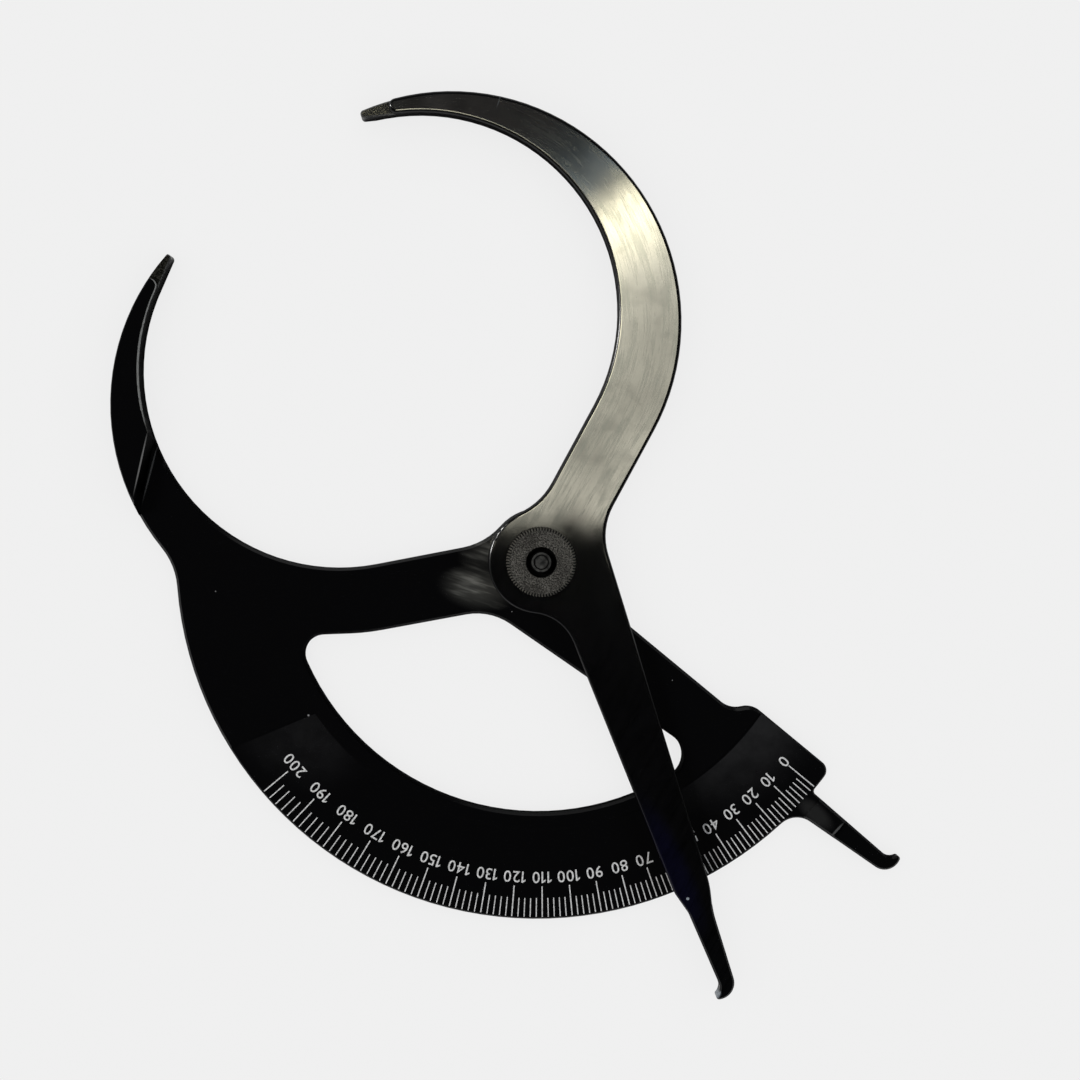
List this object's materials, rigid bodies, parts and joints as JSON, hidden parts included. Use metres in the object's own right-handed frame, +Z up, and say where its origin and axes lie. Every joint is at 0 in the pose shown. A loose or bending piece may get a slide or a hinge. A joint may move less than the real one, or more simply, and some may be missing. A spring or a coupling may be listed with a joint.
{
  "type": "inside outside caliper",
  "caption": "Plastic caliper with curved outside jaws, hooked inside legs, a swinging arm that reads a printed arc scale, and a thumb knob that clamps the arm at its pivot.",
  "frame": {"origin": "on the pivot axis, in the plane that the caliper rests on", "axes": "+Z goes up out of the printed face along the pivot, +Y is along the caliper's longest extent toward the arm's outside jaw, and +X is to the right with the scale below the pivot"},
  "size_m": [0.2182, 0.249, 0.0138],
  "materials": {
    "frame_plastic": "glossy black moulding with a white printed scale",
    "arm_plastic": "glossy black moulding with fine lengthwise scratches",
    "bolt_steel": "blackened steel",
    "washer_plastic": "smooth black plastic",
    "knob_plastic": "matte dark grey with a fine grain and a ribbed rim"
  },
  "bodies": {
    "frame": {"scale_frame": "frame_plastic", "pivot_bolt": "bolt_steel"},
    "arm": {"swing_arm": "arm_plastic"},
    "knob": {"clamp_knob": "knob_plastic", "thrust_washer": "washer_plastic"}
  },
  "joints": [
    {"name": "arm_hinge", "type": "hinge", "parent": "frame", "child": "arm", "pos_m": [0, 0, 0.0064], "axis": [0, 0, 1], "range_deg": [-72, 28.4]},
    {"name": "knob_turn", "type": "hinge", "parent": "frame", "child": "knob", "pos_m": [0, 0, 0.0093], "axis": [0, 0, 1], "range_deg": [0, 360]}
  ]
}
